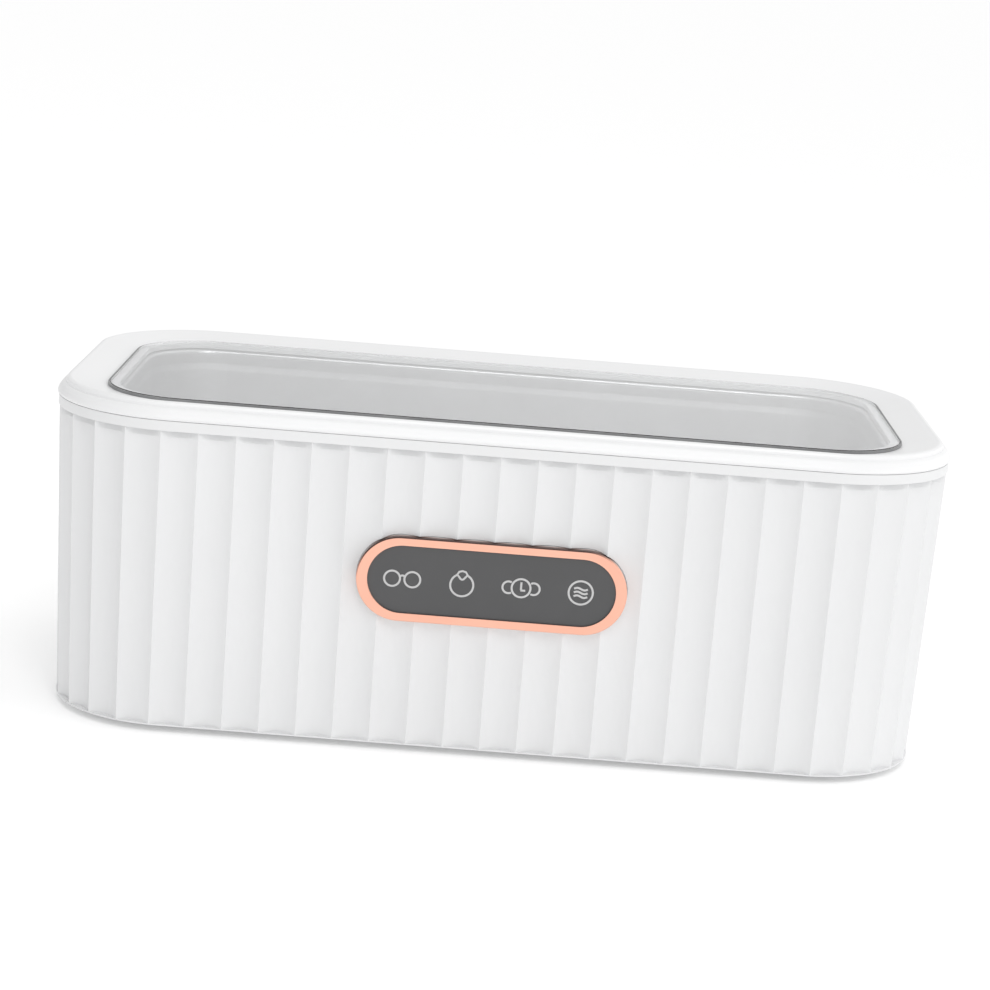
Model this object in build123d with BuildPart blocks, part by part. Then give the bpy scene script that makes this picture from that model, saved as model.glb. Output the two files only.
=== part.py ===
from build123d import *
import math
import os

os.makedirs("parts", exist_ok=True)

# ---------------------------------------------------------------------------
# Driving dimensions, millimetres.  +Z up, front of the cleaner faces -Y,
# origin on the table under the middle of the cleaner.
# ---------------------------------------------------------------------------
Y0 = 0.0             # the body stands this far back, so the origin is mid-box

WIDTH = 200.0        # over the lid flange
DEPTH = 102.4
CORNER_R = 28.8      # plan corner radius of the lid flange

FOOT_H = 1.5         # rubber feet below the housing
Z_BASE = FOOT_H      # lower edge of the fluted housing
Z_FLUTE = 68.0       # flutes end here, under the smooth rim band
Z_SCOOP = Z_FLUTE - 1.5
Z_RIM = 70.2         # top of the rim band
LID_GAP = 0.1        # visible parting line between rim band and lid

FLUTES = 68          # all round, one sharp ridge exactly at the front centre
FLUTE_DEPTH = 1.3
RIDGE_INSET = 0.4    # ridges stand this far inside the lid flange
DRAFT = 1.95         # the housing narrows by this much, per side, to its foot
LIP_T = 0.25         # thin lip round the lower edge
SCOOP_D = 0.8        # how much the grooves deepen from Z_SCOOP up to the rim band
WALL = 2.2           # housing wall behind a groove

SHOULDER_Z = 72.95   # top of the lid's bevelled shoulder
SHOULDER_IN = 1.55   # and how far in it ends
CREST_Z = 74.1       # outer crest of the lid's ring
CREST_IN = 2.6
WIN_Z = 72.3         # the ring dips to this level at the window
WIN_AX, WIN_AY, WIN_R = 89.2, 39.6, 18.4   # half sizes of the lid's window

TANK_AX, TANK_AY, TANK_R = 86.0, 37.0, 17.0  # half sizes inside the tank mouth
TANK_STEP = 0.25      # drawn shoulder round the tank
TANK_STEP_HI, TANK_STEP_LO = 66.2, 64.7
TANK_T = 0.8         # stainless sheet
TANK_FLOOR = 25.6    # inside floor of the tank
TANK_FLANGE_Z = 68.7 # underside of the tank's flange

PANEL_Z = 39.45      # middle of the touch panel above the table
PANEL_W, PANEL_H = 58.8, 18.9
FACE_W, FACE_H = 54.0, 15.2

HALF_W, HALF_D = WIDTH / 2, DEPTH / 2


def level(z):
    """Horizontal plane at height z, centred on the body."""
    return Plane(origin=(0, Y0, z), x_dir=(1, 0, 0), z_dir=(0, 0, 1))


def rounded(ax, ay, r):
    """Rounded rectangle given by its half sizes, in the current sketch."""
    return RectangleRounded(2 * ax, 2 * ay, min(r, ax - 0.01, ay - 0.01))


def outline_point(s, ax, ay, r, inset):
    """Point at arc length s from the front centre, moved inwards by inset."""
    straight_x, straight_y, q = ax - r, ay - r, math.pi * r / 2
    total = 4 * (straight_x + straight_y + q)
    s = s % total
    runs = [
        (straight_x, "line", (0, -ay), (1, 0), (0, -1)),
        (q, "arc", (straight_x, -straight_y), -90, None),
        (2 * straight_y, "line", (ax, -straight_y), (0, 1), (1, 0)),
        (q, "arc", (straight_x, straight_y), 0, None),
        (2 * straight_x, "line", (straight_x, ay), (-1, 0), (0, 1)),
        (q, "arc", (-straight_x, straight_y), 90, None),
        (2 * straight_y, "line", (-ax, straight_y), (0, -1), (-1, 0)),
        (q, "arc", (-straight_x, -straight_y), 180, None),
        (straight_x, "line", (-straight_x, -ay), (1, 0), (0, -1)),
    ]
    for length, kind, a, b, n in runs:
        if s <= length + 1e-9:
            if kind == "line":
                return (a[0] + b[0] * s - n[0] * inset, a[1] + b[1] * s - n[1] * inset)
            t = math.radians(b + 90 * s / length)
            return (a[0] + (r - inset) * math.cos(t), a[1] + (r - inset) * math.sin(t))
        s -= length
    return (0, -ay)


RIDGE_AX, RIDGE_AY, RIDGE_R = (
    HALF_W - RIDGE_INSET,
    HALF_D - RIDGE_INSET,
    CORNER_R - RIDGE_INSET,
)
PERIMETER = 4 * (
    RIDGE_AX - RIDGE_R + RIDGE_AY - RIDGE_R + math.pi * RIDGE_R / 2
)
PITCH = PERIMETER / FLUTES
CAV_AX, CAV_AY, CAV_R = (
    RIDGE_AX - FLUTE_DEPTH - WALL,
    RIDGE_AY - FLUTE_DEPTH - WALL,
    RIDGE_R - FLUTE_DEPTH - WALL,
)


def fluted_outline(inset, depth=FLUTE_DEPTH):
    """Closed line of concave arcs that meet in sharp ridges."""
    pts = [
        outline_point(k * PITCH, RIDGE_AX, RIDGE_AY, RIDGE_R, inset)
        for k in range(FLUTES)
    ]
    mids = [
        outline_point((k + 0.5) * PITCH, RIDGE_AX, RIDGE_AY, RIDGE_R, inset + depth)
        for k in range(FLUTES)
    ]
    for k in range(FLUTES):
        ThreePointArc(pts[k], mids[k], pts[(k + 1) % FLUTES])


def drafted(z):
    """How far the housing wall has drawn in at height z."""
    return DRAFT * (Z_FLUTE - z) / (Z_FLUTE - Z_BASE)


# Plane of the touch panel: on the ridges of the front wall, facing outwards and
# leaning with the wall's draft.
LEAN = math.atan(DRAFT / (Z_FLUTE - Z_BASE))
PANEL_Y = Y0 - (RIDGE_AY - drafted(PANEL_Z))


def panel_plane(w):
    """Plane parallel to the front wall, w outside the line of its ridges."""
    n = (0, -math.cos(LEAN), -math.sin(LEAN))
    return Plane(
        origin=(0, PANEL_Y + n[1] * w, PANEL_Z + n[2] * w), x_dir=(1, 0, 0), z_dir=n
    )


def inlet_plane(w):
    """Plane on the ridges of the rear wall at the power inlet, w outside it."""
    z = INLET_Z
    n = (0, math.cos(LEAN), -math.sin(LEAN))
    y = Y0 + RIDGE_AY - drafted(z)
    return Plane(origin=(INLET_X, y + n[1] * w, z + n[2] * w), x_dir=(-1, 0, 0), z_dir=n)


INLET_X, INLET_Z = 62.0, 16.5
POST_X, POST_Y, POST_R = 84.7, 35.9, 3.4     # clamping posts of the top rim
FOOT_X, FOOT_Y, FOOT_R = 70.0, 33.0, 7.0
PCB_Z, PCB_T = 9.5, 1.6
PCB_W, PCB_D = 132.0, 62.0
STAND = [(-58, -25), (58, -25), (-58, 25), (58, 25)]
PLATE_T = 2.6
PIEZO_R, PIEZO_T = 25.0, 2.6

posts = [(sx * POST_X, sy * POST_Y) for sx in (-1, 1) for sy in (-1, 1)]
feet = [(sx * FOOT_X, sy * FOOT_Y) for sx in (-1, 1) for sy in (-1, 1)]

# ---------------------------------------------------------------------------
# Outer housing: an open sleeve with concave flutes and sharp ridges.
# ---------------------------------------------------------------------------
with BuildPart() as outer_housing:
    with BuildSketch(level(Z_BASE)):
        with BuildLine():
            fluted_outline(DRAFT)
        make_face()
    with BuildSketch(level(Z_SCOOP)):
        with BuildLine():
            fluted_outline(drafted(Z_SCOOP))
        make_face()
    loft(ruled=True)
    # just under the rim band each groove deepens a little, as a shadow line
    with BuildSketch(level(Z_SCOOP)):
        with BuildLine():
            fluted_outline(drafted(Z_SCOOP))
        make_face()
    with BuildSketch(level(Z_FLUTE)):
        with BuildLine():
            fluted_outline(0, FLUTE_DEPTH + SCOOP_D)
        make_face()
    loft(ruled=True)
    # thin smooth lip round the lower edge
    with BuildSketch(level(Z_BASE)):
        rounded(RIDGE_AX - DRAFT, RIDGE_AY - DRAFT, RIDGE_R - DRAFT)
    extrude(amount=LIP_T)
    with BuildSketch(level(Z_BASE)):
        rounded(CAV_AX - DRAFT, CAV_AY - DRAFT, CAV_R - DRAFT)
    with BuildSketch(level(Z_FLUTE)):
        rounded(CAV_AX, CAV_AY, CAV_R)
    loft(ruled=True, mode=Mode.SUBTRACT)
    # pocket that the panel bezel sits in, and the window behind the face
    with BuildSketch(panel_plane(6)):
        SlotOverall(PANEL_W + 0.3, PANEL_H + 0.3)
    extrude(amount=-(6 + 1.7), mode=Mode.SUBTRACT)
    with BuildSketch(panel_plane(6)):
        SlotOverall(52.2, 12.8)
    extrude(amount=-20, mode=Mode.SUBTRACT)
    # pocket and hole of the power inlet in the rear wall
    with BuildSketch(inlet_plane(6)):
        Circle(8.2)
    extrude(amount=-(6 + 1.5), mode=Mode.SUBTRACT)
    with BuildSketch(inlet_plane(6)):
        Circle(5.6)
    extrude(amount=-20, mode=Mode.SUBTRACT)
outer_housing.part.label = "outer_housing"
export_step(outer_housing.part, "parts/outer_housing.step")

# ---------------------------------------------------------------------------
# Top rim: smooth band over the flutes, ledge for the tank, four long posts.
# ---------------------------------------------------------------------------
RIM_INSET = 0.3
with BuildPart() as top_rim:
    with BuildSketch(level(Z_FLUTE + 0.02)):
        rounded(HALF_W - RIM_INSET, HALF_D - RIM_INSET, CORNER_R - RIM_INSET)
        RectangleRounded(2 * (TANK_AX + 2.2), 2 * (TANK_AY + 2.2), TANK_R + 2.2, mode=Mode.SUBTRACT)
    extrude(amount=Z_RIM - Z_FLUTE - 0.02)
    # ledge hanging below the recess, inside the housing
    with BuildSketch(level(Z_FLUTE - 2.4)):
        rounded(CAV_AX - 0.35, CAV_AY - 0.35, CAV_R - 0.35)
        RectangleRounded(2 * (TANK_AX + 2.2), 2 * (TANK_AY + 2.2), TANK_R + 2.2, mode=Mode.SUBTRACT)
    extrude(amount=2.4 + 0.1)
    # recess for gasket and tank flange
    with BuildSketch(level(Z_RIM)):
        rounded(TANK_AX + 6.6, TANK_AY + 6.6, TANK_R + 6.6)
    extrude(amount=-(Z_RIM - TANK_FLANGE_Z + 0.8), mode=Mode.SUBTRACT)
    # posts that the base screws pull on
    with BuildSketch(level(Z_BASE + PLATE_T + 1.0)):
        with Locations(*posts):
            Circle(POST_R)
    extrude(amount=Z_FLUTE - 2.0 - Z_BASE - PLATE_T - 1.0)
    with BuildSketch(level(Z_BASE + PLATE_T + 1.0)):
        with Locations(*posts):
            Circle(1.3)
    extrude(amount=10, mode=Mode.SUBTRACT)
top_rim.part.label = "top_rim"
export_step(top_rim.part, "parts/top_rim.step")

# ---------------------------------------------------------------------------
# Stainless tank: flange, upper wall, drawn step, tapered lower wall, flat floor.
# ---------------------------------------------------------------------------
Z_TF = TANK_FLANGE_Z + TANK_T          # top of the flange


def tank_wall(grow, floor_z, drop, top_z, bottom_r):
    """One closed form of the tank: grow thickens it, drop lowers its shoulder."""
    levels = [
        (floor_z, TANK_STEP + 2.0),
        (TANK_STEP_LO - drop, TANK_STEP),
        (TANK_STEP_HI - drop, 0.0),
        (top_z, 0.0),
    ]
    with BuildPart() as form:
        for (z_a, in_a), (z_b, in_b) in zip(levels, levels[1:]):
            for z, inset in ((z_a, in_a), (z_b, in_b)):
                with BuildSketch(level(z)):
                    rounded(
                        TANK_AX + grow - inset, TANK_AY + grow - inset, TANK_R + grow - inset
                    )
            loft(ruled=True)
        fillet(form.faces().sort_by(Axis.Z)[0].edges(), radius=bottom_r)
    return form.part


tank_outside = tank_wall(TANK_T, TANK_FLOOR - TANK_T, 0.35, TANK_FLANGE_Z + 0.1, 7.0 + TANK_T)
tank_hollow = tank_wall(0.0, TANK_FLOOR, 0.0, Z_TF + 1.0, 7.0)
with BuildPart() as tank:
    with BuildSketch(level(TANK_FLANGE_Z)):
        rounded(TANK_AX + 6.3, TANK_AY + 6.3, TANK_R + 6.3)
    extrude(amount=TANK_T)
    add(tank_outside)
    add(tank_hollow, mode=Mode.SUBTRACT)
    fillet(
        tank.faces().sort_by(Axis.Z)[-1].inner_wires()[0].edges(),
        radius=0.7,
    )
tank.part.label = "tank"
export_step(tank.part, "parts/tank.step")

# ---------------------------------------------------------------------------
# Gasket under the tank's flange.
# ---------------------------------------------------------------------------
with BuildPart() as tank_gasket:
    with BuildSketch(level(TANK_FLANGE_Z - 0.8)):
        rounded(TANK_AX + 6.3, TANK_AY + 6.3, TANK_R + 6.3)
        RectangleRounded(2 * (TANK_AX + 2.4), 2 * (TANK_AY + 2.4), TANK_R + 2.4, mode=Mode.SUBTRACT)
    extrude(amount=0.8)
tank_gasket.part.label = "tank_gasket"
export_step(tank_gasket.part, "parts/tank_gasket.step")

# ---------------------------------------------------------------------------
# Lid frame: bevelled shoulder, ring that dips towards the window, spigot below.
# Each level is a rounded rectangle; ruled lofts join them.
# ---------------------------------------------------------------------------
Z_LID = Z_RIM + LID_GAP
PANE_T = 2.05
PANE_Z = WIN_Z + 0.75         # the pane stands a little proud of the ring's edge
BEAD_W = 0.35                 # thin gasket between the pane and the ring
BEAD_TOP = PANE_Z - 0.12


with BuildPart() as lid_frame:
    for z_a, in_a, z_b, in_b in (
        (Z_LID, 0.32, Z_LID + 0.4, 0.0),
        (Z_LID + 0.4, 0.0, Z_LID + 0.8, 0.04),
        (Z_LID + 0.8, 0.04, Z_LID + 1.6, 0.42),
        (Z_LID + 1.6, 0.42, SHOULDER_Z - 0.35, 0.95),
        (SHOULDER_Z - 0.35, 0.95, SHOULDER_Z, SHOULDER_IN),
        (SHOULDER_Z, 1.75, CREST_Z - 0.6, 1.8),
        (CREST_Z - 0.6, 1.8, CREST_Z - 0.2, 2.05),
        (CREST_Z - 0.2, 2.05, CREST_Z, CREST_IN),
    ):
        with BuildSketch(level(z_a)):
            rounded(HALF_W - in_a, HALF_D - in_a, CORNER_R - in_a)
        with BuildSketch(level(z_b)):
            rounded(HALF_W - in_b, HALF_D - in_b, CORNER_R - in_b)
        loft(ruled=True)
    # the dished top, falling to the window
    with BuildSketch(level(WIN_Z)):
        rounded(WIN_AX, WIN_AY, WIN_R)
    with BuildSketch(level(CREST_Z)):
        rounded(HALF_W - CREST_IN - 0.35, HALF_D - CREST_IN - 0.35, CORNER_R - CREST_IN - 0.35)
    loft(ruled=True, mode=Mode.SUBTRACT)
    # window opening and the seat that the pane rests on
    with BuildSketch(level(PANE_Z - PANE_T)):
        rounded(WIN_AX - BEAD_W, WIN_AY - BEAD_W, WIN_R - BEAD_W)
    extrude(amount=5, mode=Mode.SUBTRACT)
    with BuildSketch(level(Z_LID)):
        rounded(WIN_AX - 2.6, WIN_AY - 2.6, WIN_R - 2.6)
    extrude(amount=5, mode=Mode.SUBTRACT)
    # spigot that centres the lid in the rim
    with BuildSketch(level(Z_RIM - 0.35)):
        rounded(TANK_AX + 6.2, TANK_AY + 6.2, TANK_R + 6.2)
        RectangleRounded(2 * (WIN_AX - 2.6), 2 * (WIN_AY - 2.6), WIN_R - 2.6, mode=Mode.SUBTRACT)
    extrude(amount=0.35 + LID_GAP + 0.05)
lid_frame.part.label = "lid_frame"
export_step(lid_frame.part, "parts/lid_frame.step")

# Gasket round the edge of the pane, lying on the ring's inner edge.
with BuildPart() as window_gasket:
    with BuildSketch(level(WIN_Z + 0.01)):
        rounded(WIN_AX - 0.02, WIN_AY - 0.02, WIN_R - 0.02)
    extrude(amount=BEAD_TOP - WIN_Z - 0.01)
    with BuildSketch(level(WIN_Z)):
        rounded(WIN_AX - BEAD_W, WIN_AY - BEAD_W, WIN_R - BEAD_W)
    extrude(amount=5, mode=Mode.SUBTRACT)
window_gasket.part.label = "window_gasket"
export_step(window_gasket.part, "parts/window_gasket.step")

# Clear window pane, held by the gasket on the frame's seat.
with BuildPart() as lid_window:
    with BuildSketch(level(PANE_Z - PANE_T + 0.02)):
        rounded(WIN_AX - BEAD_W - 0.02, WIN_AY - BEAD_W - 0.02, WIN_R - BEAD_W - 0.02)
    extrude(amount=PANE_T - 0.02)
    chamfer(lid_window.faces().sort_by(Axis.Z)[-1].edges(), length=0.2)
lid_window.part.label = "lid_window"
export_step(lid_window.part, "parts/lid_window.step")

# Soft ring under the spigot that rests on the tank's flange.
with BuildPart() as lid_seal:
    with BuildSketch(level(Z_TF + 0.05)):
        rounded(TANK_AX + 5.6, TANK_AY + 5.6, TANK_R + 5.6)
        RectangleRounded(2 * (TANK_AX + 3.9), 2 * (TANK_AY + 3.9), TANK_R + 3.9, mode=Mode.SUBTRACT)
    extrude(amount=Z_RIM - 0.35 - Z_TF - 0.05)
lid_seal.part.label = "lid_seal"
export_step(lid_seal.part, "parts/lid_seal.step")

# ---------------------------------------------------------------------------
# Base plate with standoffs, feet pockets and screw seats.
# ---------------------------------------------------------------------------
PLATE_IN = DRAFT + 0.3
with BuildPart() as base_plate:
    with BuildSketch(level(Z_BASE)):
        rounded(CAV_AX - PLATE_IN, CAV_AY - PLATE_IN, CAV_R - PLATE_IN)
    extrude(amount=PLATE_T)
    # low rim inside the housing
    with BuildSketch(level(Z_BASE + PLATE_T)):
        rounded(CAV_AX - PLATE_IN - 0.4, CAV_AY - PLATE_IN - 0.4, CAV_R - PLATE_IN - 0.4)
        rounded_w = PLATE_IN + 2.0
        RectangleRounded(
            2 * (CAV_AX - rounded_w), 2 * (CAV_AY - rounded_w), CAV_R - rounded_w, mode=Mode.SUBTRACT
        )
    extrude(amount=0.9)
    with BuildSketch(level(Z_BASE + PLATE_T)):
        with Locations(*STAND):
            Circle(3.0)
    extrude(amount=PCB_Z - Z_BASE - PLATE_T)
    with BuildSketch(level(PCB_Z)):
        with Locations(*STAND):
            Circle(1.0)
    extrude(amount=-6.0, mode=Mode.SUBTRACT)
    with BuildSketch(level(Z_BASE)):
        with Locations(*feet):
            Circle(FOOT_R + 0.1)
    extrude(amount=0.9, mode=Mode.SUBTRACT)
    with BuildSketch(level(Z_BASE)):
        with Locations(*posts):
            Circle(2.8)
    extrude(amount=1.5, mode=Mode.SUBTRACT)
    with BuildSketch(level(Z_BASE)):
        with Locations(*posts):
            Circle(1.6)
    extrude(amount=PLATE_T, mode=Mode.SUBTRACT)
    # slots that let air in under the electronics
    with BuildSketch(level(Z_BASE)):
        with GridLocations(0, 6.0, 1, 5):
            SlotOverall(30, 2.4)
    extrude(amount=PLATE_T, mode=Mode.SUBTRACT)
base_plate.part.label = "base_plate"
export_step(base_plate.part, "parts/base_plate.step")

with BuildPart() as rubber_feet:
    with BuildSketch(level(0)):
        with Locations(*feet):
            Circle(FOOT_R)
    extrude(amount=FOOT_H + 0.9)
    chamfer(rubber_feet.edges().group_by(Axis.Z)[0], length=0.5)
rubber_feet.part.label = "rubber_feet"
export_step(rubber_feet.part, "parts/rubber_feet.step")


def screws(part_z, spots, head_r, head_t, shank_r, shank_l, up=True, drive=0.45):
    """Pan-head screws standing at the spots; head below, shank above, if up."""
    with BuildPart() as s:
        with BuildSketch(level(part_z)):
            with Locations(*spots):
                Circle(head_r)
        extrude(amount=head_t if up else head_t)
        z_sh = part_z + head_t if up else part_z
        with BuildSketch(level(z_sh)):
            with Locations(*spots):
                Circle(shank_r)
        extrude(amount=shank_l if up else -shank_l)
        z_dr = part_z if up else part_z + head_t
        with BuildSketch(level(z_dr)):
            with Locations(*spots):
                Rectangle(head_r * 1.1, drive)
                Rectangle(drive, head_r * 1.1)
        extrude(amount=head_t * 0.55 if up else -head_t * 0.55, mode=Mode.SUBTRACT)
    return s


base_screws = screws(Z_BASE + 0.15, posts, 2.5, 1.35, 1.25, 10.0, up=True)
base_screws.part.label = "base_screws"
export_step(base_screws.part, "parts/base_screws.step")

# ---------------------------------------------------------------------------
# Touch panel: bezel ring, dark face, light mask, board, leds.
# ---------------------------------------------------------------------------
BEZEL_OUT, FACE_OUT = 0.95, 0.5
with BuildPart() as panel_bezel:
    with BuildSketch(panel_plane(-1.55)):
        SlotOverall(PANEL_W, PANEL_H)
    extrude(amount=1.55 + BEZEL_OUT)
    chamfer(panel_bezel.faces().sort_by(Axis.Y)[0].edges(), length=0.25, length2=0.25)
    with BuildSketch(panel_plane(BEZEL_OUT + 1)):
        SlotOverall(FACE_W, FACE_H)
    extrude(amount=-10, mode=Mode.SUBTRACT)
    with BuildSketch(panel_plane(FACE_OUT)):
        SlotOverall(FACE_W + 1.6, FACE_H + 1.6)
    extrude(amount=-10, mode=Mode.SUBTRACT)
panel_bezel.part.label = "panel_bezel"
export_step(panel_bezel.part, "parts/panel_bezel.step")

with BuildPart() as touch_panel:
    with BuildSketch(panel_plane(FACE_OUT)):
        SlotOverall(FACE_W + 1.4, FACE_H + 1.4)
    extrude(amount=-1.6)
touch_panel.part.label = "touch_panel"
export_step(touch_panel.part, "parts/touch_panel.step")

KEYS = [-19.4, -6.5, 6.5, 19.4]
MASK_T = 3.6
with BuildPart() as light_mask:
    with BuildSketch(panel_plane(FACE_OUT - 1.6)):
        SlotOverall(51.8, 12.4)
        with Locations(*[(x, 0) for x in KEYS]):
            Circle(5.2, mode=Mode.SUBTRACT)
    extrude(amount=-MASK_T)
light_mask.part.label = "light_mask"
export_step(light_mask.part, "parts/light_mask.step")

# conductive foam rings that carry the touch signal from the face to the board
with BuildPart() as touch_pads:
    with BuildSketch(panel_plane(FACE_OUT - 1.62)):
        with Locations(*[(x, 0) for x in KEYS]):
            Circle(4.9)
            Circle(3.0, mode=Mode.SUBTRACT)
    extrude(amount=-(MASK_T - 0.04))
touch_pads.part.label = "touch_pads"
export_step(touch_pads.part, "parts/touch_pads.step")

TPCB_W = FACE_OUT - 1.6 - MASK_T      # outer face of the touch board
with BuildPart() as touch_pcb:
    with BuildSketch(panel_plane(TPCB_W)):
        RectangleRounded(74, 17, 2)
        with Locations((-33, 0), (33, 0)):
            Circle(1.2, mode=Mode.SUBTRACT)
    extrude(amount=-1.2)
touch_pcb.part.label = "touch_pcb"
export_step(touch_pcb.part, "parts/touch_pcb.step")

with BuildPart() as panel_leds:
    with BuildSketch(panel_plane(TPCB_W)):
        with Locations(*[(x, 0) for x in KEYS]):
            Rectangle(3.2, 1.6)
    extrude(amount=1.1)
panel_leds.part.label = "panel_leds"
export_step(panel_leds.part, "parts/panel_leds.step")

with BuildPart() as touch_chip:
    with BuildSketch(panel_plane(TPCB_W - 1.2)):
        with Locations((8, 1)):
            Rectangle(9.8, 3.9)
    extrude(amount=-1.5)
touch_chip.part.label = "touch_chip"
export_step(touch_chip.part, "parts/touch_chip.step")

# plastic spacers between the housing wall and the touch board, with its screws
with BuildPart() as panel_spacers:
    with BuildSketch(panel_plane(TPCB_W)):
        with Locations((-33, 0), (33, 0)):
            Circle(2.4)
            Circle(1.0, mode=Mode.SUBTRACT)
    extrude(amount=0.36)
panel_spacers.part.label = "panel_spacers"
export_step(panel_spacers.part, "parts/panel_spacers.step")

with BuildPart() as panel_screws:
    with BuildSketch(panel_plane(TPCB_W - 1.2)):
        with Locations((-33, 0), (33, 0)):
            Circle(2.0)
    extrude(amount=-1.3)
    with BuildSketch(panel_plane(TPCB_W - 1.2)):
        with Locations((-33, 0), (33, 0)):
            Circle(0.95)
    extrude(amount=1.2 + 0.36)
    with BuildSketch(panel_plane(TPCB_W - 2.5)):
        with Locations((-33, 0), (33, 0)):
            Rectangle(2.4, 0.5)
            Rectangle(0.5, 2.4)
    extrude(amount=0.7, mode=Mode.SUBTRACT)
panel_screws.part.label = "panel_screws"
export_step(panel_screws.part, "parts/panel_screws.step")

# ---------------------------------------------------------------------------
# Transducer: a piezo disc bonded under the tank floor.
# ---------------------------------------------------------------------------
Z_UNDER = TANK_FLOOR - TANK_T
with BuildPart() as transducer_bond:
    with BuildSketch(level(Z_UNDER)):
        Circle(PIEZO_R + 0.6)
    extrude(amount=-0.4)
transducer_bond.part.label = "transducer_bond"
export_step(transducer_bond.part, "parts/transducer_bond.step")

with BuildPart() as piezo_disc:
    with BuildSketch(level(Z_UNDER - 0.4)):
        Circle(PIEZO_R)
    extrude(amount=-PIEZO_T)
    chamfer(piezo_disc.edges(), length=0.2)
piezo_disc.part.label = "piezo_disc"
export_step(piezo_disc.part, "parts/piezo_disc.step")

with BuildPart() as piezo_electrode:
    with BuildSketch(level(Z_UNDER - 0.4 - PIEZO_T)):
        Circle(PIEZO_R - 2.0)
        with Locations((19.5, 0)):
            Rectangle(5.2, 6.0, mode=Mode.SUBTRACT)
    extrude(amount=-0.12)
piezo_electrode.part.label = "piezo_electrode"
export_step(piezo_electrode.part, "parts/piezo_electrode.step")

# ---------------------------------------------------------------------------
# Driver board on the base plate's standoffs, with its parts.
# ---------------------------------------------------------------------------
PCB_TOP = PCB_Z + PCB_T
with BuildPart() as driver_pcb:
    with BuildSketch(level(PCB_Z)):
        RectangleRounded(PCB_W, PCB_D, 3)
        with Locations(*STAND):
            Circle(1.6, mode=Mode.SUBTRACT)
    extrude(amount=PCB_T)
driver_pcb.part.label = "driver_pcb"
export_step(driver_pcb.part, "parts/driver_pcb.step")

pcb_screws = screws(PCB_TOP, STAND, 2.6, 1.6, 0.98, PCB_T + 4.0, up=False)
pcb_screws.part.label = "pcb_screws"
export_step(pcb_screws.part, "parts/pcb_screws.step")

# step-up transformer: ferrite core halves around a wound bobbin
TR_X, TR_Y = -44.0, 2.0
with BuildPart() as transformer_core:
    with BuildSketch(level(PCB_TOP + 0.5)):
        with Locations((TR_X, TR_Y)):
            Rectangle(20, 21)
    extrude(amount=11.0)
    with BuildSketch(level(PCB_TOP + 2.7)):
        with Locations((TR_X - 5.4, TR_Y), (TR_X + 5.4, TR_Y)):
            Rectangle(4.6, 21.2)
    extrude(amount=6.6, mode=Mode.SUBTRACT)
transformer_core.part.label = "transformer_core"
export_step(transformer_core.part, "parts/transformer_core.step")

with BuildPart() as transformer_winding:
    with BuildSketch(level(PCB_TOP + 2.8)):
        with Locations((TR_X, TR_Y)):
            RectangleRounded(15.0, 25.4, 3.0)
            Rectangle(6.4, 21.1, mode=Mode.SUBTRACT)
    extrude(amount=6.4)
transformer_winding.part.label = "transformer_winding"
export_step(transformer_winding.part, "parts/transformer_winding.step")

CAPS = [(-61.0, 14.0), (-61.0, -14.0), (-30.0, -25.0)]
with BuildPart() as capacitors:
    with BuildSketch(level(PCB_TOP)):
        with Locations(*[(x + 2.4 * (x > -40), y) for x, y in CAPS]):
            Circle(4.0)
    extrude(amount=10.5)
    chamfer(capacitors.faces().group_by(Axis.Z)[-1].edges(), length=0.5)
    with BuildSketch(level(PCB_TOP + 10.5)):
        with Locations(*[(x + 2.4 * (x > -40), y) for x, y in CAPS]):
            Rectangle(5.4, 0.35)
            Rectangle(0.35, 5.4)
    extrude(amount=-0.25, mode=Mode.SUBTRACT)
capacitors.part.label = "capacitors"
export_step(capacitors.part, "parts/capacitors.step")

with BuildPart() as choke:
    with BuildSketch(level(PCB_TOP)):
        with Locations((46.0, -17.0)):
            Circle(7.5)
            Circle(3.2, mode=Mode.SUBTRACT)
    extrude(amount=8.0)
    fillet(choke.edges(), radius=1.6)
choke.part.label = "choke"
export_step(choke.part, "parts/choke.step")

HS_X, HS_Y = 40.0, 8.0
with BuildPart() as heatsink:
    with BuildSketch(level(PCB_TOP)):
        with Locations((HS_X, HS_Y)):
            Rectangle(26, 2.4)
        with Locations(*[(HS_X - 12 + 4.8 * i, HS_Y + 4.2) for i in range(6)]):
            Rectangle(1.2, 6.2)
    extrude(amount=10.5)
heatsink.part.label = "heatsink"
export_step(heatsink.part, "parts/heatsink.step")

with BuildPart() as power_transistors:
    with BuildSketch(level(PCB_TOP + 1.2)):
        with Locations((HS_X - 6.5, HS_Y - 3.5), (HS_X + 6.5, HS_Y - 3.5)):
            Rectangle(8.6, 4.4)
    extrude(amount=8.8)
power_transistors.part.label = "power_transistors"
export_step(power_transistors.part, "parts/power_transistors.step")

with BuildPart() as controller_chip:
    with BuildSketch(level(PCB_TOP)):
        with Locations((0, 6)):
            Rectangle(10.0, 7.6)
    extrude(amount=1.7)
    with BuildSketch(level(PCB_TOP)):
        with Locations((0, 6 - 5.2)):
            with GridLocations(1.27, 12.0, 7, 1):
                Rectangle(0.5, 3.0)
        with Locations((0, 6 + 5.2)):
            with GridLocations(1.27, 12.0, 7, 1):
                Rectangle(0.5, 3.0)
    extrude(amount=0.5)
controller_chip.part.label = "controller_chip"
export_step(controller_chip.part, "parts/controller_chip.step")

# headers: panel ribbon at the front edge, transducer beside it, power at the rear
CONN = [(30.0, -26.0, 9.0, 5.0), (-6.0, -26.0, 7.0, 5.0), (60.0, 12.0, 7.0, 5.0)]
with BuildPart() as connectors:
    for cx, cy, cw, cd in CONN:
        with BuildSketch(level(PCB_TOP)):
            with Locations((cx, cy)):
                Rectangle(cw, cd)
        extrude(amount=4.6)
connectors.part.label = "connectors"
export_step(connectors.part, "parts/connectors.step")

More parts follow.
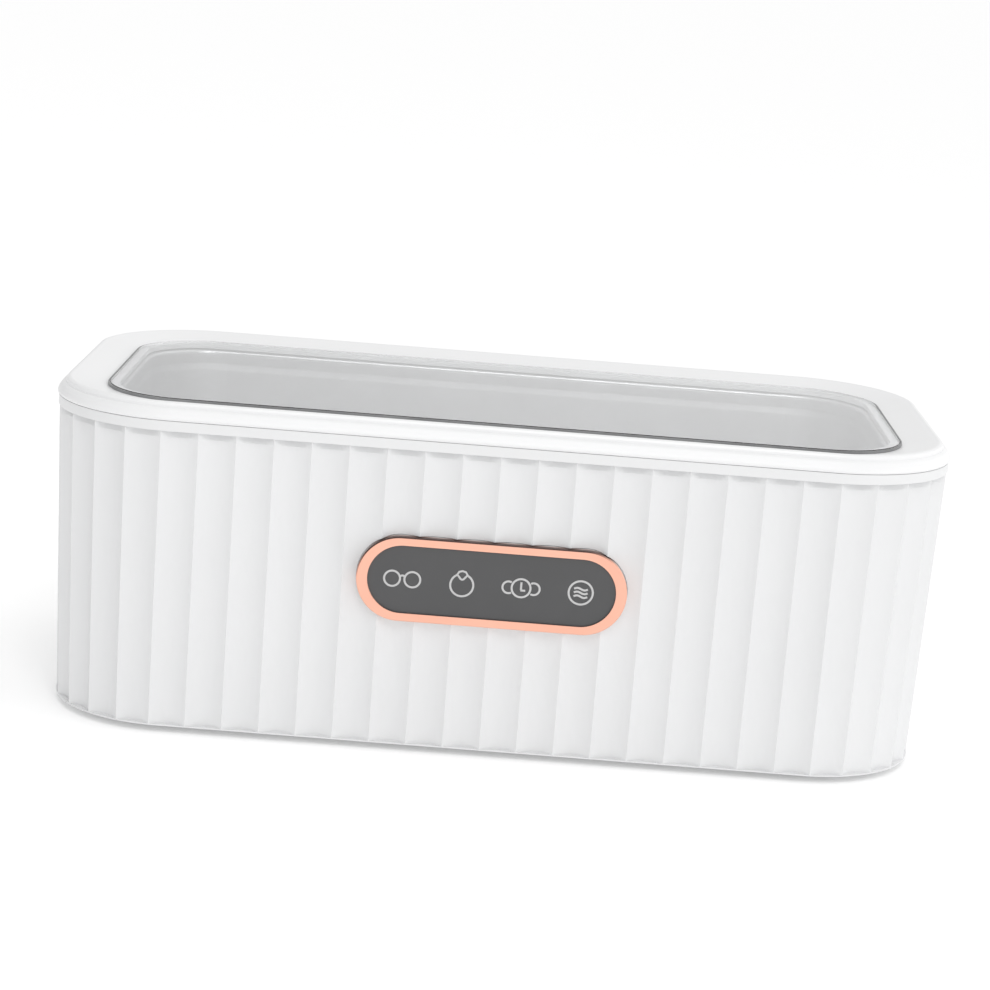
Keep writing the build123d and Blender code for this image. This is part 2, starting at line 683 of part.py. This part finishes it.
# ---------------------------------------------------------------------------
# Rear power inlet: flanged barrel socket, centre pin and nut.
# ---------------------------------------------------------------------------
with BuildPart() as power_inlet:
    with BuildSketch(inlet_plane(-1.45)):
        Circle(7.9)
    extrude(amount=1.45 + 0.35)
    chamfer(power_inlet.faces().sort_by(Axis.Y)[-1].edges(), length=0.4)
    with BuildSketch(inlet_plane(-1.45)):
        Circle(5.4)
    extrude(amount=-11.0)
    with BuildSketch(inlet_plane(1)):
        Circle(3.1)
    extrude(amount=-11.0, mode=Mode.SUBTRACT)
power_inlet.part.label = "power_inlet"
export_step(power_inlet.part, "parts/power_inlet.step")

with BuildPart() as inlet_pin:
    with BuildSketch(inlet_plane(-10.0)):
        Circle(1.05)
    extrude(amount=8.6)
    fillet(inlet_pin.faces().sort_by(Axis.Y)[-1].edges(), radius=0.6)
inlet_pin.part.label = "inlet_pin"
export_step(inlet_pin.part, "parts/inlet_pin.step")

WALL_W = -(FLUTE_DEPTH + WALL)      # inner face of the housing wall
with BuildPart() as inlet_nut:
    with BuildSketch(inlet_plane(WALL_W - 0.15)):
        RegularPolygon(7.6, 6)
        Circle(5.45, mode=Mode.SUBTRACT)
    extrude(amount=-2.4)
inlet_nut.part.label = "inlet_nut"
export_step(inlet_nut.part, "parts/inlet_nut.step")

# ---------------------------------------------------------------------------
# Wiring inside the base: round leads on straight runs and tangent arcs.
# ---------------------------------------------------------------------------
def lead(points, r, radii):
    with BuildPart() as w:
        with BuildLine() as path:
            FilletPolyline(*[(x, y + Y0, z) for x, y, z in points], radius=radii)
        with BuildSketch(Plane(origin=path.line @ 0, z_dir=path.line % 0)):
            Circle(r)
        sweep(path=path.line)
    return w


def pair(points_a, points_b, r, radii):
    a, b = lead(points_a, r, radii), lead(points_b, r, radii)
    return Compound(children=[a.part, b.part])


conn_top = PCB_TOP + 4.6
p_in = inlet_plane(-12.45).origin
power_leads = lead(
    [
        (p_in.X, p_in.Y - Y0, p_in.Z),
        (p_in.X, p_in.Y - Y0 - 7.0, p_in.Z + 0.2),
        (p_in.X - 1.0, 22.0, conn_top + 4.2),
        (60.0, 12.0, conn_top + 3.8),
        (60.0, 12.0, conn_top),
    ],
    1.1,
    2.0,
)
power_leads.part.label = "power_leads"
export_step(power_leads.part, "parts/power_leads.step")

z_piezo = Z_UNDER - 0.4 - PIEZO_T - 0.12
transducer_leads = lead(
    [
        (-6.0, -12.0, z_piezo),
        (-6.0, -12.0, z_piezo - 3.0),
        (-6.0, -26.0, z_piezo - 3.0),
        (-6.0, -26.0, conn_top),
    ],
    0.7,
    1.2,
)
transducer_leads.part.label = "transducer_leads"
export_step(transducer_leads.part, "parts/transducer_leads.step")

p_tp = panel_plane(TPCB_W - 1.2).origin
with BuildPart() as panel_ribbon:
    with BuildLine() as rib:
        FilletPolyline(
            (30.0, p_tp.Y + 0.16, PANEL_Z - 4.0),
            (30.0, p_tp.Y + 3.2, PANEL_Z - 4.0),
            (30.0, p_tp.Y + 3.2, conn_top + 8.0),
            (30.0, -26.0 + Y0, conn_top + 5.0),
            (30.0, -26.0 + Y0, conn_top),
            radius=1.4,
        )
    with BuildSketch(Plane(origin=rib.line @ 0, z_dir=rib.line % 0, x_dir=(1, 0, 0))):
        Rectangle(6.0, 0.7)
    sweep(path=rib.line)
panel_ribbon.part.label = "panel_ribbon"
export_step(panel_ribbon.part, "parts/panel_ribbon.step")
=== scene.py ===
"""Looks of the ultrasonic cleaner: materials for every CAD node, the printed
pictograms on the touch panel, a plain floor, soft studio light and the camera."""

import math

import bmesh
import bpy
from mathutils import Matrix, Vector


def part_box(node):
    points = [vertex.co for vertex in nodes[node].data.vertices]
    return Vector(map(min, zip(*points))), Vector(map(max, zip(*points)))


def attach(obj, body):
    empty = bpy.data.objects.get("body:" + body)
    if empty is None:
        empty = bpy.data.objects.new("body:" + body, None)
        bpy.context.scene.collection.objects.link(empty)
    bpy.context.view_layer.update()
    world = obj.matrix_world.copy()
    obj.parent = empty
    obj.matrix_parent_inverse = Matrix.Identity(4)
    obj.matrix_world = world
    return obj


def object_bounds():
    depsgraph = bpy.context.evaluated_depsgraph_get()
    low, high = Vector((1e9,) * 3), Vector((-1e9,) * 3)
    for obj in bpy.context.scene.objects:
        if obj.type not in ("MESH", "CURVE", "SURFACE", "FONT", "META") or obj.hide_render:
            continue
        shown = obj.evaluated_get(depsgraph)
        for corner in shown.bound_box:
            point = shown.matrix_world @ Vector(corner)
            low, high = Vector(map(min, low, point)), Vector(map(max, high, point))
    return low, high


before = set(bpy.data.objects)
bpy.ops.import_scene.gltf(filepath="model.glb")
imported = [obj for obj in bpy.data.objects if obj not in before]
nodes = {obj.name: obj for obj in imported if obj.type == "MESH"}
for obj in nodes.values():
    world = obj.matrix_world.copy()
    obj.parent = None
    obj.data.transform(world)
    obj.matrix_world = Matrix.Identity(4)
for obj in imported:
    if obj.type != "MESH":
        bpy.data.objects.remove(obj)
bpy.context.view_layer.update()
scene = bpy.context.scene
scene.view_settings.view_transform = "Standard"
scene.view_settings.look = "None"
scene.view_settings.exposure = 0.0
scene.view_settings.gamma = 1.0

LO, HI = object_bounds()
MID = Vector(((LO.x + HI.x) / 2, (LO.y + HI.y) / 2, LO.z))
MM = 0.001

# ---------------------------------------------------------------- camera
cam_data = bpy.data.cameras.new("camera")
cam = bpy.data.objects.new("camera", cam_data)
scene.collection.objects.link(cam)
AZ, EL, ROLL = math.radians(-0.027817), math.radians(12.463916), math.radians(4.462670)
fw = Vector((math.sin(AZ) * math.cos(EL), math.cos(AZ) * math.cos(EL), -math.sin(EL)))
r0 = fw.cross(Vector((0, 0, 1))).normalized()
u0 = r0.cross(fw)
r1 = math.cos(ROLL) * r0 + math.sin(ROLL) * u0
u1 = -math.sin(ROLL) * r0 + math.cos(ROLL) * u0
cam_data.sensor_width = 36.0
cam_data.lens = 2623.6326 / 990 * 36.0
cam_data.clip_start, cam_data.clip_end = 0.01, 100.0
rot = Matrix((r1, u1, -fw)).transposed().to_4x4()
cam.matrix_world = Matrix.Translation(
    MID + Vector((-0.515483, -600.550804, 181.179635)) * MM
) @ rot
scene.camera = cam


# ---------------------------------------------------------------- materials
def new_mat(name):
    m = bpy.data.materials.new(name)
    m.use_nodes = True
    nt = m.node_tree
    nt.nodes.clear()
    out = nt.nodes.new("ShaderNodeOutputMaterial")
    p = nt.nodes.new("ShaderNodeBsdfPrincipled")
    nt.links.new(p.outputs["BSDF"], out.inputs["Surface"])
    return m, nt, p, out


def coords(nt, scale=(1, 1, 1)):
    tc = nt.nodes.new("ShaderNodeTexCoord")
    mp = nt.nodes.new("ShaderNodeMapping")
    mp.inputs["Scale"].default_value = scale
    nt.links.new(tc.outputs["Object"], mp.inputs["Vector"])
    return mp.outputs["Vector"]


def noise(nt, vec, scale, detail=3.0, rough=0.55, dist=0.0):
    n = nt.nodes.new("ShaderNodeTexNoise")
    n.inputs["Scale"].default_value = scale
    n.inputs["Detail"].default_value = detail
    n.inputs["Roughness"].default_value = rough
    n.inputs["Distortion"].default_value = dist
    nt.links.new(vec, n.inputs["Vector"])
    return n.outputs["Fac"]


def ranged(nt, fac, lo, hi, a=0.3, b=0.7):
    m = nt.nodes.new("ShaderNodeMapRange")
    m.inputs["From Min"].default_value = a
    m.inputs["From Max"].default_value = b
    m.inputs["To Min"].default_value = lo
    m.inputs["To Max"].default_value = hi
    nt.links.new(fac, m.inputs["Value"])
    return m.outputs["Result"]


def shade(nt, fac, c0, c1):
    r = nt.nodes.new("ShaderNodeMix")
    r.data_type = "RGBA"
    r.inputs["A"].default_value = (*c0, 1)
    r.inputs["B"].default_value = (*c1, 1)
    nt.links.new(fac, r.inputs["Factor"])
    return r.outputs["Result"]


def bump(nt, height, dist, strength=1.0, normal=None):
    b = nt.nodes.new("ShaderNodeBump")
    b.inputs["Strength"].default_value = strength
    b.inputs["Distance"].default_value = dist
    nt.links.new(height, b.inputs["Height"])
    if normal is not None:
        nt.links.new(normal, b.inputs["Normal"])
    return b.outputs["Normal"]


def soft_edge(nt, radius):
    b = nt.nodes.new("ShaderNodeBevel")
    b.samples = 4
    b.inputs["Radius"].default_value = radius
    return b.outputs["Normal"]


def mul(c, k):
    return tuple(min(1.0, v * k) for v in c)


def plastic(name, color, rough=0.35, vary=0.03, grain=2200, depth=0.02, swing=0.06,
            edge=0.25, coat=0.0, spec=0.5, patch=45, sub=0.0):
    """Moulded plastic: faint mottling of the colour, a fine spark-eroded grain and
    a slow change of gloss."""
    m, nt, p, out = new_mat(name)
    v = coords(nt)
    slow = noise(nt, v, patch, 2.0)
    fine = noise(nt, v, grain, 3.0, 0.6)
    nt.links.new(shade(nt, ranged(nt, slow, 0, 1), mul(color, 1 - vary), mul(color, 1 + vary)), p.inputs["Base Color"])
    mix = nt.nodes.new("ShaderNodeMath")
    mix.operation = "ADD"
    nt.links.new(ranged(nt, slow, 0, swing), mix.inputs[0])
    nt.links.new(ranged(nt, fine, rough - swing / 2, rough + swing / 2), mix.inputs[1])
    nt.links.new(mix.outputs[0], p.inputs["Roughness"])
    base = soft_edge(nt, edge * MM) if edge else None
    nt.links.new(bump(nt, fine, depth * MM, 1.0, base), p.inputs["Normal"])
    p.inputs["Specular IOR Level"].default_value = spec
    if coat:
        p.inputs["Coat Weight"].default_value = coat
        p.inputs["Coat Roughness"].default_value = 0.08
    if sub:
        p.inputs["Subsurface Weight"].default_value = sub
        p.inputs["Subsurface Radius"].default_value = (1.0, 0.9, 0.8)
        p.inputs["Subsurface Scale"].default_value = 0.001
    return m


def metal(name, color, rough=0.25, swing=0.12, stretch=(1, 1, 1), grain=900, depth=0.006,
          edge=0.2, vary=0.08, metallic=1.0):
    """Metal with drawn or rolled lines: the grain is stretched along the work."""
    m, nt, p, out = new_mat(name)
    v = coords(nt, stretch)
    w = coords(nt)
    line = noise(nt, v, grain, 4.0, 0.7)
    slow = noise(nt, w, 60, 2.0)
    nt.links.new(shade(nt, ranged(nt, slow, 0, 1), mul(color, 1 - vary), mul(color, 1 + vary / 2)), p.inputs["Base Color"])
    nt.links.new(ranged(nt, line, rough - swing / 2, rough + swing / 2), p.inputs["Roughness"])
    base = soft_edge(nt, edge * MM) if edge else None
    nt.links.new(bump(nt, line, depth * MM, 1.0, base), p.inputs["Normal"])
    p.inputs["Metallic"].default_value = metallic
    return m


def rubber(name, color, rough=0.75, grain=1500, depth=0.04):
    """Rubber or silicone: matt, a little dusty, with a soft sheen."""
    m, nt, p, out = new_mat(name)
    v = coords(nt)
    slow = noise(nt, v, 120, 3.0)
    fine = noise(nt, v, grain, 4.0, 0.65)
    nt.links.new(shade(nt, ranged(nt, slow, 0, 1), mul(color, 0.85), mul(color, 1.15)), p.inputs["Base Color"])
    nt.links.new(ranged(nt, fine, rough - 0.08, min(1.0, rough + 0.1)), p.inputs["Roughness"])
    nt.links.new(bump(nt, fine, depth * MM, 1.0, soft_edge(nt, 0.2 * MM)), p.inputs["Normal"])
    p.inputs["Sheen Weight"].default_value = 0.15
    p.inputs["Sheen Roughness"].default_value = 0.6
    return m


def board(name, color, trace=(0.02, 0.16, 0.06), scale=260):
    """Circuit board: solder mask over square-cornered copper tracks."""
    m, nt, p, out = new_mat(name)
    v = coords(nt)
    vo = nt.nodes.new("ShaderNodeTexVoronoi")
    vo.distance = "CHEBYCHEV"
    vo.feature = "F1"
    vo.inputs["Scale"].default_value = scale
    vo.inputs["Randomness"].default_value = 0.85
    nt.links.new(v, vo.inputs["Vector"])
    wave = nt.nodes.new("ShaderNodeMath")
    wave.operation = "PINGPONG"
    wave.inputs[1].default_value = 0.12
    nt.links.new(vo.outputs["Distance"], wave.inputs[0])
    tr = ranged(nt, wave.outputs[0], 0, 1, 0.045, 0.06)
    fine = noise(nt, v, 3000, 2.0)
    nt.links.new(shade(nt, tr, color, trace), p.inputs["Base Color"])
    nt.links.new(ranged(nt, fine, 0.3, 0.42), p.inputs["Roughness"])
    nt.links.new(bump(nt, tr, 0.035 * MM, 1.0, soft_edge(nt, 0.15 * MM)), p.inputs["Normal"])
    p.inputs["Coat Weight"].default_value = 0.3
    p.inputs["Coat Roughness"].default_value = 0.15
    return m


def wound(name, color, pitch, axis="Z", rough=0.35, metallic=0.6):
    """Enamelled wire laid turn by turn, with painted shade in the grooves between turns."""
    m, nt, p, out = new_mat(name)
    v = coords(nt)
    w = nt.nodes.new("ShaderNodeTexWave")
    w.bands_direction = axis
    w.inputs["Scale"].default_value = 2 * math.pi / (20 * pitch * MM)
    w.inputs["Distortion"].default_value = 0.4
    nt.links.new(v, w.inputs["Vector"])
    slow = noise(nt, v, 90, 2.0)
    # painted shade: the colour falls to half in the grooves between turns, where the bump is lowest
    nt.links.new(shade(nt, w.outputs["Fac"], mul(color, 0.5), color), p.inputs["Base Color"])
    nt.links.new(ranged(nt, slow, rough - 0.08, rough + 0.1), p.inputs["Roughness"])
    nt.links.new(bump(nt, w.outputs["Fac"], 0.12 * MM, 1.0), p.inputs["Normal"])
    p.inputs["Metallic"].default_value = metallic
    return m


WHITE = (0.86, 0.862, 0.865)
M = {}
M["outer_housing"] = plastic("housing_white", (0.775, 0.778, 0.783), 0.36, 0.01, 260, 0.003, 0.06, 0, spec=0.45, patch=30)
M["top_rim"] = plastic("rim_white", (0.785, 0.788, 0.792), 0.32, 0.006, 120, 0.003, 0.04, 0, patch=35)
M["lid_frame"] = plastic("lid_white", (0.862, 0.864, 0.868), 0.3, 0.004, 90, 0.003, 0.03, 0, patch=35)
M["base_plate"] = plastic("base_grey_white", (0.66, 0.665, 0.67), 0.5, 0.03, 900, 0.05, 0.08, 0.3, patch=70)
M["rubber_feet"] = rubber("foot_rubber", (0.13, 0.13, 0.135), 0.8)
M["tank_gasket"] = rubber("gasket_silicone", (0.62, 0.63, 0.64), 0.6)
M["lid_seal"] = rubber("seal_silicone", (0.62, 0.63, 0.64), 0.55)
M["window_gasket"] = rubber("gasket_grey", (0.24, 0.242, 0.245), 0.55, 300, 0.001)
M["panel_leds"] = plastic("led_body", (0.75, 0.76, 0.62), 0.3, 0.05, 3000, 0.02, coat=0.4, edge=0.05)
M["touch_pads"] = rubber("pad_foam", (0.42, 0.43, 0.45), 0.9, 2600, 0.12)
M["light_mask"] = plastic("mask_black", (0.028, 0.028, 0.03), 0.55, 0.2, 1600, 0.04, 0.1)
M["touch_pcb"] = board("board_green2", (0.012, 0.11, 0.045), (0.018, 0.17, 0.07), 340)
M["driver_pcb"] = board("board_green", (0.012, 0.10, 0.04), (0.02, 0.17, 0.065), 210)
M["touch_chip"] = plastic("chip_black", (0.03, 0.03, 0.032), 0.5, 0.2, 4000, 0.02, edge=0.08)
M["controller_chip"] = plastic("chip_black2", (0.032, 0.032, 0.034), 0.48, 0.2, 4000, 0.02, edge=0.08)
M["power_transistors"] = plastic("transistor_black", (0.035, 0.034, 0.034), 0.45, 0.2, 3500, 0.03, edge=0.1)
M["panel_spacers"] = plastic("spacer_nylon", (0.74, 0.73, 0.69), 0.4, 0.03, 2500, 0.02, edge=0.1)
for k, n in (("panel_screws", "screw_steel"), ("base_screws", "screw_steel2"), ("pcb_screws", "screw_steel3")):
    M[k] = metal(n, (0.55, 0.55, 0.57), 0.3, 0.14, (1, 1, 6), 1400, 0.01, 0.1)
M["piezo_disc"] = plastic("piezo_ceramic", (0.23, 0.19, 0.16), 0.6, 0.1, 2400, 0.03, edge=0.15)
M["piezo_electrode"] = metal("silver_film", (0.78, 0.77, 0.74), 0.42, 0.16, (1, 1, 1), 1800, 0.01, 0.05)
M["transducer_bond"] = plastic("bond_epoxy", (0.46, 0.36, 0.2), 0.22, 0.2, 500, 0.08, coat=0.5, edge=0.1)
M["transformer_core"] = plastic("ferrite", (0.055, 0.055, 0.06), 0.55, 0.25, 900, 0.06, edge=0.2)
M["transformer_winding"] = wound("winding", (0.62, 0.25, 0.08), 0.5, "Y")
M["choke"] = wound("choke_core", (0.6, 0.3, 0.1), 0.7, "X")
M["capacitors"] = plastic("cap_sleeve", (0.03, 0.05, 0.12), 0.3, 0.15, 1500, 0.02, coat=0.3, edge=0.2)
M["heatsink"] = metal("heatsink_al", (0.7, 0.71, 0.72), 0.35, 0.2, (1, 1, 30), 700, 0.015, 0.1)
M["connectors"] = plastic("header_nylon", (0.78, 0.76, 0.7), 0.38, 0.04, 2400, 0.02, edge=0.1)
M["power_inlet"] = plastic("inlet_black", (0.03, 0.03, 0.032), 0.4, 0.2, 2000, 0.02, edge=0.15)
M["inlet_pin"] = metal("pin_metal", (0.82, 0.78, 0.6), 0.2, 0.1, (1, 1, 1), 2500, 0.004, 0.1)
M["inlet_nut"] = metal("nut_metal", (0.6, 0.6, 0.61), 0.32, 0.16, (1, 8, 1), 1200, 0.01, 0.15)
M["power_leads"] = plastic("lead_red", (0.35, 0.03, 0.025), 0.42, 0.1, 2000, 0.02, edge=0)
M["transducer_leads"] = plastic("lead_black", (0.03, 0.03, 0.03), 0.42, 0.15, 2000, 0.02, edge=0)
M["panel_ribbon"] = wound("ribbon_grey", (0.5, 0.52, 0.55), 1.0, "X", 0.5, 0.0)


def rose(name):
    """Plated ring: satin rose gold on its face; the front of its outer edge carries a painted shade and painted
    reflection, near-black where it turns up or to the left; the plain moulding behind it left pale."""
    m, nt, p, out = new_mat(name)
    v = coords(nt)
    tc = nt.nodes.new("ShaderNodeTexCoord")
    # painted shade and reflection: the edge is painted darker the more it faces up and to the left
    dot = nt.nodes.new("ShaderNodeVectorMath")
    dot.operation = "DOT_PRODUCT"
    dot.inputs[1].default_value = (-0.42, 0.0, 0.91)
    nt.links.new(tc.outputs["Normal"], dot.inputs[0])
    dark = ranged(nt, dot.outputs["Value"], 0, 1, 0.28, 0.6)
    lo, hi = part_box("panel_bezel")
    sep = nt.nodes.new("ShaderNodeSeparateXYZ")
    nt.links.new(tc.outputs["Generated"], sep.inputs[0])
    reach = 1.55 * MM / (hi[1] - lo[1])
    near = ranged(nt, sep.outputs["Y"], 1, 0, reach * 0.7, reach * 1.3)
    painted_shade_mask = nt.nodes.new("ShaderNodeMath")
    painted_shade_mask.operation = "MULTIPLY"
    nt.links.new(dark, painted_shade_mask.inputs[0])
    nt.links.new(near, painted_shade_mask.inputs[1])
    back = nt.nodes.new("ShaderNodeMix")
    back.data_type = "RGBA"
    back.inputs["B"].default_value = (0.8, 0.79, 0.785, 1)
    slow = noise(nt, v, 70, 2.0)
    fine = noise(nt, v, 500, 2.0)
    face = shade(nt, ranged(nt, slow, 0, 1), (0.93, 0.475, 0.345), (0.965, 0.51, 0.375))
    nt.links.new(face, back.inputs["A"])
    nt.links.new(ranged(nt, sep.outputs["Y"], 0, 1, reach * 0.7, reach * 1.3), back.inputs["Factor"])
    mix = nt.nodes.new("ShaderNodeMix")
    mix.data_type = "RGBA"
    nt.links.new(back.outputs["Result"], mix.inputs["A"])
    # near-black colour of the painted shade and reflection on the front of the outer edge
    mix.inputs["B"].default_value = (0.06, 0.026, 0.02, 1)
    nt.links.new(painted_shade_mask.outputs[0], mix.inputs["Factor"])
    nt.links.new(mix.outputs["Result"], p.inputs["Base Color"])
    nt.links.new(ranged(nt, fine, 0.28, 0.36), p.inputs["Roughness"])
    nt.links.new(bump(nt, fine, 0.0006 * MM, 1.0), p.inputs["Normal"])
    p.inputs["Metallic"].default_value = 0.2
    return m


M["panel_bezel"] = rose("bezel_rose")
M["touch_panel"] = plastic("panel_dark", (0.072, 0.072, 0.074), 0.34, 0.04, 900, 0.0008, 0.05, 0, coat=0.1, patch=80)


def steel_tank(name):
    """Deep-drawn stainless tank: brushed along its walls, a little mottled."""
    m, nt, p, out = new_mat(name)
    v = coords(nt, (1, 1, 22))
    w = coords(nt)
    line = noise(nt, v, 160, 5.0, 0.7)
    slow = noise(nt, w, 28, 3.0)
    nt.links.new(shade(nt, ranged(nt, slow, 0, 1), (0.72, 0.725, 0.73), (0.8, 0.805, 0.81)), p.inputs["Base Color"])
    nt.links.new(ranged(nt, line, 0.34, 0.5), p.inputs["Roughness"])
    nt.links.new(bump(nt, line, 0.0012 * MM, 1.0), p.inputs["Normal"])
    p.inputs["Metallic"].default_value = 1.0
    return m


M["tank"] = steel_tank("tank_steel")


def clear(name):
    """Clear acrylic pane. Lamps shine through it, so the tank below is lit."""
    m, nt, p, out = new_mat(name)
    v = coords(nt)
    fine = noise(nt, v, 300, 3.0)
    p.inputs["Base Color"].default_value = (0.93, 0.935, 0.94, 1)
    p.inputs["Transmission Weight"].default_value = 1.0
    p.inputs["IOR"].default_value = 1.49
    nt.links.new(ranged(nt, fine, 0.0, 0.012), p.inputs["Roughness"])
    nt.links.new(bump(nt, noise(nt, v, 14, 0.0), 0.002 * MM, 1.0), p.inputs["Normal"])
    lp = nt.nodes.new("ShaderNodeLightPath")
    tr = nt.nodes.new("ShaderNodeBsdfTransparent")
    tr.inputs["Color"].default_value = (0.93, 0.935, 0.94, 1)
    mix = nt.nodes.new("ShaderNodeMixShader")
    nt.links.new(lp.outputs["Is Shadow Ray"], mix.inputs["Fac"])
    nt.links.new(p.outputs["BSDF"], mix.inputs[1])
    nt.links.new(tr.outputs["BSDF"], mix.inputs[2])
    nt.links.new(mix.outputs["Shader"], out.inputs["Surface"])
    return m


M["lid_window"] = clear("window_clear")

for name, ob in nodes.items():
    ob.data.materials.clear()
    ob.data.materials.append(M[name])


# ---------------------------------------------------------------- pictograms
def face_plane(ob):
    """Centre and outward normal of a leaning front face."""
    n, c, area = Vector(), Vector(), 0.0
    for poly in ob.data.polygons:
        if poly.normal.y < -0.98:
            n += poly.normal * poly.area
            c += poly.center * poly.area
            area += poly.area
    return c / area, n.normalized()


panel = nodes["touch_panel"]
fc, fn = face_plane(panel)
lo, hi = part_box("touch_panel")
right = Vector((1, 0, 0))
up = right.cross(-fn).normalized()
if up.z < 0:
    up = -up
front = max((v.co - fc).dot(fn) for v in panel.data.vertices)
origin = Vector(((lo.x + hi.x) / 2, fc.y, fc.z)) + fn * front


def arc(cx, cy, r, a0, a1, n):
    return [
        (cx + r * math.cos(math.radians(a0 + (a1 - a0) * i / n)), cy + r * math.sin(math.radians(a0 + (a1 - a0) * i / n)))
        for i in range(n + 1)
    ]


def stroke(bm, pts, width, closed=False, lift=0.05):
    """A flat printed line, slightly domed, that follows the points (mm)."""
    pts = [Vector(p) for p in pts]
    n = len(pts)
    rows = []
    prof = [(-0.5, -0.02), (-0.42, lift * 0.8), (0.0, lift), (0.42, lift * 0.8), (0.5, -0.02)]
    for i, p in enumerate(pts):
        a = pts[(i - 1) % n] if closed or i else pts[0]
        b = pts[(i + 1) % n] if closed or i < n - 1 else pts[-1]
        t = (b - a).normalized()
        nrm = Vector((-t.y, t.x))
        row = []
        for s, h in prof:
            q = p + nrm * (s * width)
            w = origin + right * (q.x * MM) + up * (q.y * MM) + fn * (h * MM)
            row.append(bm.verts.new(w))
        rows.append(row)
    m = len(prof)
    last = n if closed else n - 1
    for i in range(last):
        r0_, r1_ = rows[i], rows[(i + 1) % n]
        for j in range(m):
            k = (j + 1) % m
            bm.faces.new((r0_[j], r0_[k], r1_[k], r1_[j]))
    if not closed:
        bm.faces.new(rows[0])
        bm.faces.new(list(reversed(rows[-1])))


def icon(name, strokes, width, mat):
    bm = bmesh.new()
    for pts, closed in strokes:
        stroke(bm, pts, width, closed)
    bmesh.ops.recalc_face_normals(bm, faces=bm.faces)
    me = bpy.data.meshes.new(name)
    bm.to_mesh(me)
    bm.free()
    for poly in me.polygons:
        poly.use_smooth = True
    ob = bpy.data.objects.new(name, me)
    scene.collection.objects.link(ob)
    ob.data.materials.append(mat)
    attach(ob, "base")
    return ob


ink = plastic("print_pale", (0.56, 0.56, 0.56), 0.5, 0.04, 4000, 0.004, edge=0)
W = 0.48
K = (-19.4, -6.45, 6.4, 19.35)
icon("icon_glasses", [
    (arc(K[0] - 2.2, 0, 1.72, 0, 360, 48)[:-1], True),
    (arc(K[0] + 2.2, 0, 1.72, 0, 360, 48)[:-1], True),
    (arc(K[0], 0.2, 0.6, 25, 155, 8), False),
], W, ink)
icon("icon_ring", [
    (arc(K[1], -0.35, 2.5, 118, 422, 60), False),
    ([(K[1] - 1.12, 2.0), (K[1] - 0.72, 2.62), (K[1], 2.82), (K[1] + 0.72, 2.62), (K[1] + 1.12, 2.0),
      (K[1] + 0.66, 1.4), (K[1] + 0.3, 0.98), (K[1], 0.88), (K[1] - 0.3, 0.98), (K[1] - 0.66, 1.4)], True),
], W, ink)
icon("icon_watch", [
    (arc(K[2], 0, 2.04, 0, 360, 54)[:-1], True),
    ([(K[2], 1.35), (K[2], 0.7), (K[2], 0.1), (K[2], -0.45)], False),
    ([(K[2] - 0.12, -0.5), (K[2] + 0.3, -0.5), (K[2] + 0.95, -0.5)], False),
    (arc(K[2] - 2.72, 0, 1.32, 62, 298, 30), False),
    (arc(K[2] + 2.72, 0, 1.32, -118, 118, 30), False),
], W, ink)
wave = [(-1.5 + 3.0 * i / 20, 0.24 * math.sin(2 * math.pi * i / 20)) for i in range(21)]
icon("icon_waves", [
    (arc(K[3], 0, 2.62, 0, 360, 60)[:-1], True),
] + [([(K[3] + x, y + dy) for x, y in wave], False) for dy in (0.85, 0.0, -0.85)], W, ink)

# ---------------------------------------------------------------- floor and light
floor_me = bpy.data.meshes.new("floor")
bm = bmesh.new()
bmesh.ops.create_circle(bm, cap_ends=True, segments=96, radius=30.0)
bm.to_mesh(floor_me)
bm.free()
floor = bpy.data.objects.new("floor", floor_me)
floor.location = (MID.x, MID.y, LO.z - 0.0002)
scene.collection.objects.link(floor)
fm, fnt, fp, fout = new_mat("floor_white")
fv = coords(fnt)
fnt.links.new(shade(fnt, noise(fnt, fv, 40, 2.0), (0.95, 0.95, 0.95), (0.97, 0.97, 0.97)), fp.inputs["Base Color"])
fp.inputs["Roughness"].default_value = 0.9
fp.inputs["Specular IOR Level"].default_value = 0.0
fp.inputs["Emission Color"].default_value = (1, 1, 1, 1)
fp.inputs["Emission Strength"].default_value = 0.16
floor_me.materials.append(fm)

world = bpy.data.worlds.new("studio")
scene.world = world
world.use_nodes = True
bg = world.node_tree.nodes["Background"]
bg.inputs["Color"].default_value = (1, 1, 1, 1)


def sky(level, side, horizon):
    """Studio surround: even, with a share that grows to the right and a paler band
    round the horizon."""
    nt = world.node_tree
    tc = nt.nodes.new("ShaderNodeTexCoord")
    sep = nt.nodes.new("ShaderNodeSeparateXYZ")
    nt.links.new(tc.outputs["Generated"], sep.inputs[0])

    def op(kind, a, b):
        m = nt.nodes.new("ShaderNodeMath")
        m.operation = kind
        for k, v in ((0, a), (1, b)):
            if isinstance(v, float):
                m.inputs[k].default_value = v
            elif v is not None:
                nt.links.new(v, m.inputs[k])
        return m.outputs[0]

    z = op("ABSOLUTE", sep.outputs["Z"], None)
    x = op("MULTIPLY", op("MULTIPLY", sep.outputs["X"], float(side)), op("SUBTRACT", 1.0, op("MULTIPLY", z, 0.7)))
    h = op("POWER", op("SUBTRACT", 1.0, z), 3.0)
    h = op("MULTIPLY", h, float(horizon))
    total = op("ADD", op("ADD", x, float(level)), h)
    nt.links.new(total, bg.inputs["Strength"])


sky(0.86, 0.5, 0.0)


def softbox(name, place, size, watts, color=(1, 1, 1)):
    data = bpy.data.lights.new(name, "AREA")
    data.shape = "RECTANGLE"
    data.size, data.size_y = size
    data.energy = watts
    data.color = color
    ob = bpy.data.objects.new(name, data)
    scene.collection.objects.link(ob)
    ob.location = MID + Vector(place)
    aim = MID + Vector((0, 0, 0.04))
    ob.rotation_euler = (aim - ob.location).to_track_quat("-Z", "Y").to_euler()
    return ob


softbox("key", (0.1, -0.83, 1.04), (0.5, 0.5), 2.8)
